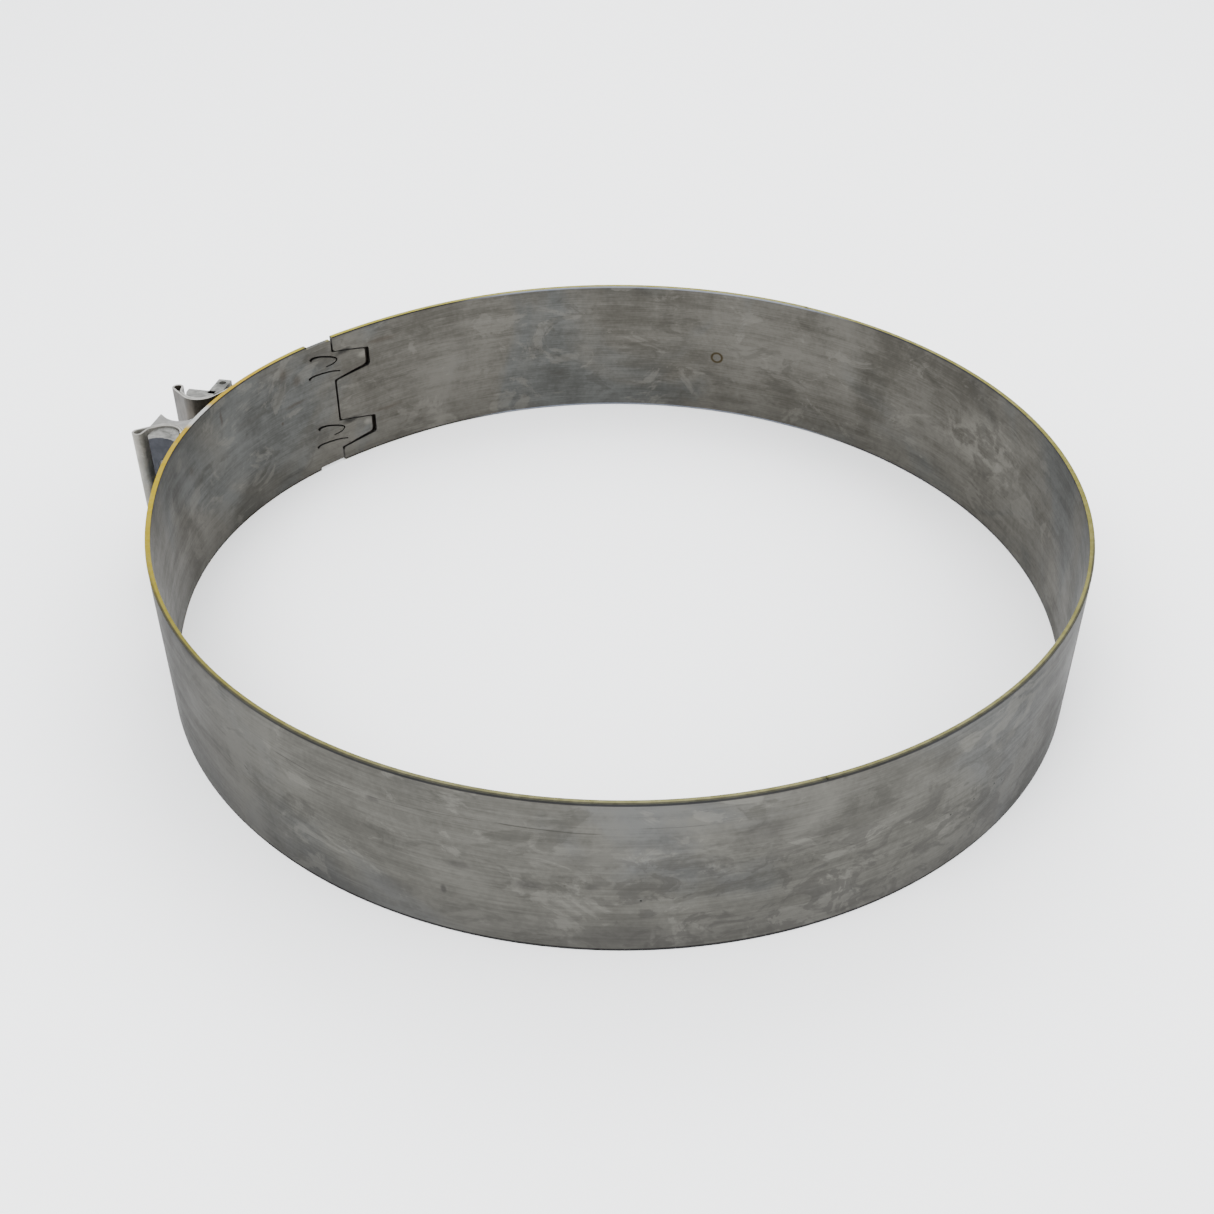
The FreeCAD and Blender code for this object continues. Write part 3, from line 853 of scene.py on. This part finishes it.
hollow = OUTER_LAYER + SHEET / 2 + BLOCK_FIT
lean = math.radians(LEAN)
mouth = (hollow - BLOCK_HEIGHT / 2 * math.sin(lean)) / math.cos(lean)
near_face = ([(mouth, -BLOCK_HEIGHT / 2)] + round_arc(hollow, -LEAN, LEAN, 24)
             + [(mouth, BLOCK_HEIGHT / 2)])
across = 2 * hollow + BLOCK_WAIST
far_face = [(across - g, out) for g, out in reversed(near_face)]
block = drill_for_bolts(prism("block", NEAR, near_face + far_face, -BLOCK_HALF, BLOCK_HALF),
                        BOLT_RADIUS + 0.4)

for obj, body, node, width in ((near_bar, "near_side", "near_bar", 0.45),
                               (far_bar, "bolt_carriage", "far_bar", 0.35),
                               (block, "block", "reaction_block", 0.3)):
    softened(obj, width, segments=3)
    applied(obj)
    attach(obj, body)
    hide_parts(node)


# ---- material nodes ----
class Nodes:
    """Short ways to add the nodes of one material."""

    def __init__(self, name):
        self.material = bpy.data.materials.new(name)
        self.material.use_nodes = True
        self.tree = self.material.node_tree
        self.shader = self.tree.nodes["Principled BSDF"]
        self.place = self.add("ShaderNodeTexCoord").outputs["Object"]

    def add(self, kind, **settings):
        node = self.tree.nodes.new(kind)
        for key, value in settings.items():
            setattr(node, key, value)
        return node

    def link(self, source, target):
        if isinstance(source, (int, float)):
            target.default_value = source
        elif isinstance(source, (tuple, list)):
            target.default_value = tuple(source) + ((1.0,) if len(source) == 3
                                                    and target.type == "RGBA" else ())
        else:
            self.tree.links.new(source, target)

    def plug(self, node, names, values):
        for name, value in zip(names, values):
            self.link(value, node.inputs[name])

    def math(self, operation, a, b=0.0, clamp=False):
        node = self.add("ShaderNodeMath", operation=operation, use_clamp=clamp)
        self.plug(node, (0, 1), (a, b))
        return node.outputs[0]

    def times(self, a, b):
        return self.math("MULTIPLY", a, b)

    def plus(self, a, b):
        return self.math("ADD", a, b)

    def minus(self, a, b, clamp=False):
        return self.math("SUBTRACT", a, b, clamp)

    def noise(self, scale, detail=3.0, roughness=0.55, stretch=(1, 1, 1), distortion=0.0):
        mapping = self.add("ShaderNodeMapping")
        self.plug(mapping, ("Vector", "Scale"), (self.place, stretch))
        node = self.add("ShaderNodeTexNoise")
        self.plug(node, ("Vector", "Scale", "Detail", "Roughness", "Distortion"),
                  (mapping.outputs[0], scale, detail, roughness, distortion))
        return node.outputs["Fac"]

    def steps(self, value, low, high, out_low=0.0, out_high=1.0):
        node = self.add("ShaderNodeMapRange", interpolation_type="SMOOTHSTEP")
        self.plug(node, ("Value", "From Min", "From Max", "To Min", "To Max"),
                  (value, low, high, out_low, out_high))
        return node.outputs["Result"]

    def mix(self, factor, a, b, blend="MIX"):
        node = self.add("ShaderNodeMix", data_type="RGBA", blend_type=blend)
        self.plug(node, (0, 6, 7), (factor, a, b))
        return node.outputs[2]

    def axes(self):
        parts = self.add("ShaderNodeSeparateXYZ")
        self.link(self.place, parts.inputs[0])
        return parts.outputs

    def along(self, direction):
        """Distance in millimetres along a direction in the plane."""
        x, y, _ = self.axes()
        return self.plus(self.times(x, float(direction[0]) / MM),
                         self.times(y, float(direction[1]) / MM))

    def angle_height(self):
        """Polar angle in degrees from 0 to 360, and height in millimetres."""
        x, y, z = self.axes()
        degrees = self.times(self.math("ARCTAN2", y, x), 180 / math.pi)
        return self.math("FLOORED_MODULO", degrees, 360.0), self.times(z, 1 / MM)

    def bump(self, height, strength, distance):
        node = self.add("ShaderNodeBump")
        self.plug(node, ("Strength", "Distance", "Height"), (strength, distance * MM, height))
        return node.outputs["Normal"]

    def coat(self, colour, roughness, normal, metal):
        """Gives the shader its looks and returns the material."""
        self.plug(self.shader, ("Base Color", "Roughness", "Normal", "Metallic"),
                  (colour, roughness, normal, metal))
        return self.material


def steel(name, dark, light, rough, streak=2600.0, along=110.0, blotch=26.0, bump=0.25,
          patchy=0.0, cool=(0.88, 0.94, 1.02), metal=1.0, marks=None):
    """Rolled stainless steel: fine brushed dashes along the strip over soft, cloudy blotches."""
    n = Nodes(name)
    fine = n.noise(1.0, 3.0, 0.6, (along, along, streak))
    coarse = n.noise(1.0, 3.0, 0.5, (along * 0.25, along * 0.25, streak * 0.12))
    cloud = n.noise(blotch, 5.0, 0.62, distortion=0.6)
    speck = n.noise(700.0, 2.0, 0.5)
    tone = n.plus(n.times(fine, 0.20), n.times(coarse, 0.20))
    tone = n.plus(tone, n.times(cloud, 0.50))
    tone = n.plus(tone, n.times(speck, 0.10))
    colour = n.mix(n.steps(tone, 0.38, 0.62), dark, light)
    roughness = n.steps(tone, 0.35, 0.65, rough + 0.10, rough - 0.05)
    if patchy:
        hue = n.noise(blotch * 0.55, 4.0, 0.6, distortion=0.8)
        colour = n.mix(n.steps(hue, 0.46, 0.62), colour, cool, "MULTIPLY")
        pale = n.noise(blotch * 1.7, 6.0, 0.66, (1, 1, 1.5), distortion=1.0)
        colour = n.mix(n.steps(pale, 0.56, 0.62, 0.0, 0.45 * patchy), colour,
                       tuple(1.5 * c for c in light))
        dull = n.noise(blotch * 2.3, 5.0, 0.6, (1, 1, 2.2), distortion=0.7)
        colour = n.mix(n.steps(dull, 0.57, 0.64, 0.0, 0.45 * patchy), colour,
                       tuple(0.62 * c for c in dark))
    height = n.plus(n.times(fine, 0.7), n.times(speck, 0.3))
    if marks:
        colour, roughness, height = marks(n, colour, roughness, height)
    n.shader.inputs["Specular Tint"].default_value = (0.62, 0.62, 0.62, 1)
    return n.coat(colour, roughness, n.bump(height, bump, 0.02), metal)


def spot(n, around, height, at, radii, soft=0.5):
    """Soft round mark at (angle, height), 1 in its middle; radii are in millimetres."""
    across = n.times(n.minus(around, at[0]), math.radians(1) * PIPE_RADIUS)
    up = n.minus(height, at[1])
    a = n.math("POWER", n.math("DIVIDE", across, radii[0]), 2.0)
    b = n.math("POWER", n.math("DIVIDE", up, radii[1]), 2.0)
    reach = n.math("SQRT", n.plus(a, b))
    return n.steps(reach, 1.0, 1.0 - soft)


def darken(n, mask, colour, stain, amount):
    return n.mix(n.times(mask, amount), colour, stain)


def inner_marks(n, colour, roughness, height):
    """Stains on the inner face by the closure, one weld ring at the back, dirt with painted shade and a painted
    highlight at each tab's top edge, and lines of painted shade and painted highlight under the rim.
    """
    around, up = n.angle_height()
    wobble = n.times(n.minus(n.noise(160.0, 3.0, 0.6), 0.5), 3.0)
    up_w = n.plus(up, wobble)
    around_w = n.plus(around, n.times(wobble, 0.4))
    brown = (0.035, 0.026, 0.020)
    stains = [((159.3, 18.5), (1.0, 4.5), 0.55), ((146.0, 19.0), (2.2, 4.0), 0.45),
              ((143.6, 14.5), (2.6, 3.0), 0.4), ((144.6, 6.0), (6.5, 0.9), 0.45),
              ((147.0, 0.7), (0.9, 0.9), 0.6), ((168.7, 11.4), (1.4, 2.2), 0.35),
              ((128.5, 18.2), (10.0, 1.2), 0.4), ((128.5, -10.2), (10.0, 1.2), 0.4)]
    for place, size, amount in stains:
        colour = darken(n, spot(n, around_w, up_w, place, size, soft=0.8), colour, brown, amount)
    ring = spot(n, around, up, (73.9, -1.9), (2.8, 2.6), soft=0.25)
    hollow = spot(n, around, up, (73.9, -1.9), (1.9, 1.8), soft=0.3)
    groove = n.minus(ring, hollow, clamp=True)
    colour = darken(n, groove, colour, (0.024, 0.017, 0.006), 0.9)
    height = n.minus(height, n.times(groove, 2.0))
    for middle in TAB_MIDDLES:
        # Along each tab's top edge: a dark smudge that is partly dirt and partly painted shade of the pressed
        # edge, and below it a painted highlight.
        tab_dirt_and_shade = spot(n, around_w, up_w, (134.9, middle + 4.4), (4.6, 1.6), soft=0.7)
        colour = darken(n, tab_dirt_and_shade, colour, (0.014, 0.014, 0.013), 0.8)
        tab_painted_highlight = spot(n, around_w, up_w, (131.8, middle + 0.6), (3.0, 1.8), soft=0.9)
        colour = n.mix(n.times(tab_painted_highlight, 0.35), colour, (0.21, 0.20, 0.175))
    pale = n.times(spot(n, around, up, (24.6, 2.2), (34.0, 16.0), soft=0.7),
                   n.steps(n.noise(130.0, 6.0, 0.66, (1, 1, 1.3), distortion=0.4), 0.44, 0.60))
    colour = n.mix(n.times(pale, 0.42), colour, (0.17, 0.163, 0.143))
    # Lines under the rim: painted shade on the right and on the left, and a pale bluish painted highlight at the
    # back.
    right = n.math("MAXIMUM", n.steps(around, 56, 46), n.steps(around, 330, 345))
    colour = rim_shading_line(n, up, colour, right, (0.024, 0.025, 0.034), 0.8)
    left = n.times(n.steps(around, 108, 118), n.steps(around, 200, 190))
    back = n.times(n.steps(around, 50, 62), n.steps(around, 116, 106))
    colour = rim_shading_line(n, up, colour, left, (0.022, 0.021, 0.019), 0.9)
    return rim_shading_line(n, up, colour, back, (0.26, 0.29, 0.36), 0.5), roughness, height


def rim_shading_line(n, up, colour, where, tint, amount, width=0.55):
    """Thin line in the given tint where a face turns over into the rim: painted shade when dark, a painted
    highlight when light.
    """
    off = n.math("ABSOLUTE", up)
    near_rim = n.steps(off, BAND_HALF - width - 0.15, BAND_HALF - width + 0.1)
    if where is not None:
        near_rim = n.times(near_rim, where)
    return n.mix(n.times(near_rim, amount), colour, tint)


def saddle_marks(n, colour, roughness, height):
    """The far saddle is given a darker, browner colour than the near one."""
    far = n.steps(n.along(ALONG), BOLT_GAP_MIDDLE - 1, BOLT_GAP_MIDDLE + 1)
    return n.mix(far, colour, (0.22, 0.195, 0.17), "MULTIPLY"), roughness, height


def pits(n, scale, size, share):
    """Round specks, one at most in each cell, in some of the cells."""
    cells = n.add("ShaderNodeTexVoronoi")
    cells.inputs["Scale"].default_value = scale
    n.link(n.place, cells.inputs["Vector"])
    colour = n.add("ShaderNodeSeparateColor")
    n.link(cells.outputs["Color"], colour.inputs[0])
    small = n.steps(cells.outputs["Distance"], size, size * 0.6)
    return n.times(small, n.math("GREATER_THAN", colour.outputs[0], 1 - share))


def scratch(n, around, up, start, end, width):
    """Thin straight score from one (angle, height) to another."""
    radius = PIPE_RADIUS + BAND_THICKNESS
    run = math.radians(end[0] - start[0]) * radius
    slope = (end[1] - start[1]) / run
    across = n.times(n.minus(around, start[0]), math.radians(1) * radius)
    line = n.plus(n.times(across, slope), start[1])
    off = n.math("ABSOLUTE", n.minus(up, line))
    near = n.steps(off, width, width * 0.35)
    low, high = sorted((0.0, run))
    fade = min(4.0, (high - low) * 0.3)
    window = n.times(n.steps(across, low, low + fade), n.steps(across, high, high - fade))
    return n.times(near, window)


# (start angle, height), (end angle, height), half width, strength
OUTER_SCORES = [
    ((231.0, 14.6), (237.5, 14.0), 0.26, 0.65),
    ((237.0, 13.6), (243.2, 14.5), 0.22, 0.5),
    ((243.2, 14.3), (257.2, 16.3), 0.22, 0.35),
    ((257.2, 16.5), (268.6, 15.4), 0.26, 0.6),
    ((271.3, 17.4), (279.0, 17.3), 0.20, 0.35),
    ((224.4, 16.0), (234.1, 15.9), 0.18, 0.3),
    ((225.4, 0.4), (226.2, -0.6), 0.38, 0.9),
]
# (angle, height), radii, strength
OUTER_PATCHES = [
    ((253.5, -0.8), (4.5, 2.0), 0.40), ((260.5, -3.4), (5.5, 2.4), 0.40),
    ((251.7, -10.7), (1.1, 2.2), 0.65), ((267.0, -2.5), (3.0, 1.5), 0.35),
    ((244.5, 14.0), (2.6, 1.1), 0.50), ((270.0, -20.0), (16.0, 4.5), 0.35),
    ((284.0, 13.0), (9.0, 5.0), 0.35), ((246.0, -15.0), (8.0, 5.0), 0.25),
]


def outer_marks(n, colour, roughness, height):
    """Long scores, a black nick and scattered pits on the outer face; painted shade towards the bottom and towards
    both sides, and a dark rim line that is partly burr and partly painted shade.
    """
    around, up = n.angle_height()
    waver = n.times(n.minus(n.noise(60.0, 2.0, 0.5), 0.5), 0.8)
    up_w = n.plus(up, waver)
    for start, end, width, amount in OUTER_SCORES:
        mask = scratch(n, around, up_w, start, end, width)
        colour = darken(n, mask, colour, (0.030, 0.029, 0.026), amount)
        height = n.minus(height, n.times(mask, 0.6))
    for place, size, amount in OUTER_PATCHES:
        colour = darken(n, spot(n, around, up_w, place, size, soft=0.7), colour,
                        (0.034, 0.032, 0.031), amount)
    right = n.times(n.steps(around, 255, 275), n.steps(around, 350, 320))
    speckled = n.math("MAXIMUM", spot(n, around, up, (271.0, -9.0), (15.0, 5.0), soft=0.4),
                      spot(n, around, up, (312.0, -8.0), (24.0, 8.0), soft=0.4))
    specks = n.times(pits(n, 420.0, 0.17, 0.33), speckled)
    colour = darken(n, specks, colour, (0.006, 0.006, 0.007), 0.95)
    colour = darken(n, pits(n, 60.0, 0.028, 0.3), colour, (0.006, 0.006, 0.007), 0.9)
    mottle = n.noise(95.0, 5.0, 0.62, (1, 1, 1.6), distortion=1.2)
    low_right = n.times(right, n.steps(up, 22.0, -4.0))
    dark = n.times(n.steps(mottle, 0.50, 0.58), low_right)
    colour = darken(n, dark, colour, (0.048, 0.046, 0.042), 0.62)
    stain = n.times(spot(n, around, up, (305.0, 16.0), (7.0, 5.0), soft=0.9),
                    n.steps(n.noise(60.0, 4.0), 0.4, 0.6))
    colour = darken(n, stain, colour, (0.040, 0.038, 0.034), 0.6)
    # Painted shade: the outer face darkens towards its bottom edge.
    painted_foot_shade = n.times(n.steps(up, -8.0, -26.0), 0.35)
    colour = darken(n, painted_foot_shade, colour, (0.050, 0.048, 0.046), 1.0)
    # Painted shade: the outer face darkens strongly towards both sides, where it turns away from the light.
    turned_away_shade = n.math("MAXIMUM", n.steps(around, 245, 195), n.steps(around, 300, 350))
    colour = n.mix(n.times(turned_away_shade, 0.9), colour, (0.30, 0.29, 0.28), "MULTIPLY")
    # Dark line along the top and bottom edges of the outer face: partly a dark burr, partly painted shade.
    return rim_shading_line(n, up, colour, None, (0.010, 0.010, 0.011), 0.85, 0.7), roughness, height


def edge_paint():
    """Sheared rims: bright yellow on the left, duller round the back, pale olive at the front."""
    n = Nodes("band_edge")
    around, _ = n.angle_height()
    ramp = n.add("ShaderNodeValToRGB")
    ramp.color_ramp.interpolation = "LINEAR"
    yellow, warm, green = (0.25, 0.165, 0.0, 1), (0.24, 0.18, 0.002, 1), (0.11, 0.10, 0.018, 1)
    dark, bare = (0.05, 0.048, 0.042, 1), (0.30, 0.30, 0.29, 1)
    stops = [(0, green), (60, (0.12, 0.11, 0.022, 1)), (120, (0.17, 0.15, 0.012, 1)),
             (136.6, (0.20, 0.17, 0.008, 1)), (137.0, dark), (141.2, dark),
             (141.5, (0.20, 0.17, 0.006, 1)), (147.0, warm), (152.0, yellow), (160.5, yellow),
             (160.9, bare), (166.6, bare), (167.0, yellow), (185, warm),
             (215, (0.12, 0.105, 0.02, 1)), (250, (0.100, 0.094, 0.045, 1)),
             (310, (0.105, 0.098, 0.040, 1)), (360, green)]
    elements = ramp.color_ramp.elements
    for position, colour in stops[1:-1]:
        elements.new(position / 360).color = colour
    for end in (0, -1):
        elements[end].position = stops[end][0] / 360
        elements[end].color = stops[end][1]
    n.link(n.math("DIVIDE", around, 360.0), ramp.inputs["Fac"])
    worn = n.steps(n.noise(260.0, 4.0, 0.65), 0.56, 0.70)
    colour = n.mix(n.times(worn, 0.15), ramp.outputs["Color"], (0.20, 0.18, 0.10))
    # At the front the outer part of the rim is darkened almost to black: partly a dark burr, partly painted shade.
    x, y, _ = n.axes()
    radius = n.math("SQRT", n.plus(n.math("POWER", x, 2.0), n.math("POWER", y, 2.0)))
    outer = n.steps(n.times(radius, 1 / MM), PIPE_RADIUS + 0.75, PIPE_RADIUS + 1.0)
    front = n.times(n.steps(around, 196, 208), n.steps(around, 352, 340))
    colour = n.mix(n.times(outer, n.times(front, 0.85)), colour,
                   (0.016, 0.016, 0.015))
    return n.coat(colour, n.steps(n.noise(500.0), 0.3, 0.7, 0.42, 0.62),
                  n.bump(n.noise(700.0), 0.3, 0.03), 1.0)


inner_steel = steel("band_inner", (0.052, 0.049, 0.042), (0.088, 0.084, 0.074), 0.42,
                    patchy=0.7, marks=inner_marks)
outer_steel = steel("band_outer", (0.062, 0.060, 0.053), (0.100, 0.097, 0.086), 0.46,
                    streak=1500.0, along=60.0, patchy=0.8, cool=(0.90, 0.93, 1.0),
                    marks=outer_marks)
edge_steel = edge_paint()
cut_steel = steel("band_cut", (0.05, 0.048, 0.044), (0.10, 0.097, 0.09), 0.45, blotch=120.0)
saddle_steel = steel("saddle_steel", (0.13, 0.124, 0.108), (0.24, 0.23, 0.205), 0.32,
                     streak=140.0, along=900.0, blotch=90.0, patchy=0.5, metal=0.55,
                     marks=saddle_marks)
# Lighter copy of the saddle steel for the sheet's top and bottom edges: a painted highlight.
saddle_edge_highlight = steel("saddle_edge_highlight", (0.16, 0.155, 0.14), (0.30, 0.29, 0.27), 0.36, along=300.0,
                    streak=300.0, blotch=120.0, metal=0.6)
bar_steel = steel("bar_steel", (0.055, 0.055, 0.050), (0.18, 0.178, 0.165), 0.42, along=400.0,
                  streak=400.0, blotch=260.0, bump=0.6, metal=0.6)
block_steel = steel("block_steel", (0.17, 0.167, 0.157), (0.25, 0.245, 0.235), 0.38, along=400.0,
                    streak=200.0, blotch=90.0)
bolt_steel = steel("bolt_steel", (0.15, 0.148, 0.14), (0.24, 0.235, 0.225), 0.28, along=150.0,
                   streak=150.0, blotch=90.0)
washer_steel = steel("washer_steel", (0.16, 0.157, 0.15), (0.25, 0.245, 0.235), 0.32, along=150.0,
                     streak=150.0, blotch=120.0)


def coated_flat():
    """Flat face of a bar: dark grey coating that stops in a shallow arc near each sheared end."""
    n = Nodes("bar_coat")
    off = n.math("ABSOLUTE", n.times(n.axes()[2], 1 / MM))
    out = n.minus(n.along(OUTWARD), BOLT_LINE)
    bow = n.times(n.times(out, out), 0.05)
    wave = n.times(n.minus(n.noise(700.0), 0.5), 0.7)
    edge = n.plus(n.plus(off, bow), wave)
    bare = n.steps(edge, BAR_HALF - 0.35, BAR_HALF - 0.1)
    coat = n.mix(n.noise(260.0, 4.0), (0.012, 0.013, 0.018), (0.025, 0.027, 0.034))
    return n.coat(n.mix(bare, coat, (0.17, 0.168, 0.16)),
                  n.steps(n.noise(500.0), 0.3, 0.7, 0.5, 0.7),
                  n.bump(n.noise(900.0), 0.3, 0.03), 0.5)


def paint_band(obj):
    """Inner, outer, rim and cut faces of a band piece each get their own steel."""
    for material in (inner_steel, outer_steel, edge_steel, cut_steel):
        obj.data.materials.append(material)
    for face in obj.data.polygons:
        middle = Vector((face.center.x, face.center.y, 0))
        facing = face.normal.dot(middle.normalized())
        if abs(facing) > 0.8:
            face.material_index = 0 if facing < 0 else 1
        elif abs(face.normal.z) > 0.7 and abs(face.center.z) > (BAND_HALF - NECK_STEP - 0.3) * MM:
            face.material_index = 2
        else:
            face.material_index = 3


for piece in (tongue, notched, flex):
    paint_band(piece)

for piece, material, slot in (
        [(near_saddle, saddle_steel, "saddle_steel"), (far_saddle, saddle_steel, "saddle_steel"),
         (near_bar, bar_steel, "bar_steel"), (far_bar, bar_steel, "bar_steel"),
         (block, block_steel, "block_steel")]
        + [(b, bolt_steel, "bolt_steel") for b in bolts]):
    piece.data.materials.clear()
    piece.data.materials.append(material)

# Top and bottom sheet edges take the lighter steel: a painted highlight.
for piece in (near_saddle, far_saddle):
    piece.data.materials.append(saddle_edge_highlight)
    for face in piece.data.polygons:
        if abs(face.normal.z) > 0.8:
            face.material_index = 1

bar_coat = coated_flat()
for piece, side in ((near_bar, NEAR), (far_bar, FAR)):
    piece.data.materials.append(bar_coat)
    away = Vector((*-side.gapward, 0))
    for face in piece.data.polygons:
        if face.normal.dot(away) > 0.9:
            face.material_index = 1

for level in ("upper", "lower"):
    obj = frame["nodes"]["head_washer_" + level]
    for place in obj.material_slots:
        place.material = washer_steel
    weld = obj.modifiers.new("joined", "WELD")
    weld.merge_threshold = 0.002 * MM
    softened(obj, 0.15)


# ---- floor, light and camera ----
def floor():
    bm = bmesh.new()
    bmesh.ops.create_grid(bm, x_segments=2, y_segments=2, size=4)
    for vert in bm.verts:
        vert.co.z = cad_box[0][2] - 0.0002
    obj = mesh_object("floor", bm)
    n = Nodes("floor_white")
    n.link(n.mix(n.noise(3.0), (0.93, 0.93, 0.93), (0.95, 0.95, 0.95)),
           n.shader.inputs["Base Color"])
    n.shader.inputs["Roughness"].default_value = 0.9
    obj.data.materials.append(n.material)


def area_light(name, place, size, power):
    """Round light that points at the middle of the ring."""
    data = bpy.data.lights.new(name, "AREA")
    data.shape = "DISK"
    data.size = size
    data.energy = power
    obj = placed(name, data)
    obj.location = place
    obj.rotation_euler = (-Vector(place)).to_track_quat("-Z", "Y").to_euler()


floor()
area_light("key", (-0.5, -0.6, 1.2), 0.9, 20)
area_light("fill", (0.9, -0.2, 0.8), 0.9, 8)
area_light("back", (0.1, 0.9, 1.0), 1.0, 12)

world = bpy.data.worlds.new("studio")
world.use_nodes = True
sky = world.node_tree.nodes["Background"].inputs
sky["Color"].default_value = (0.95, 0.97, 1.0, 1)
sky["Strength"].default_value = 2.5
bpy.context.scene.world = world

FOCAL_TO_WIDTH = 1514.2 / 1214
CAMERA_PLACE = (-0.00370, -0.39590, 0.27191)
CAMERA_DOWN = math.radians(36.66)
CAMERA_ROLL = 0.0019
camera = bpy.data.cameras.new("camera")
camera.sensor_width = 36
camera.lens = FOCAL_TO_WIDTH * camera.sensor_width
camera_object = placed("camera", camera)
camera_object.location = CAMERA_PLACE
camera_object.rotation_euler = (Matrix.Rotation(math.pi / 2 - CAMERA_DOWN, 4, "X")
                                @ Matrix.Rotation(CAMERA_ROLL, 4, "Z")).to_euler()
bpy.context.scene.camera = camera_object
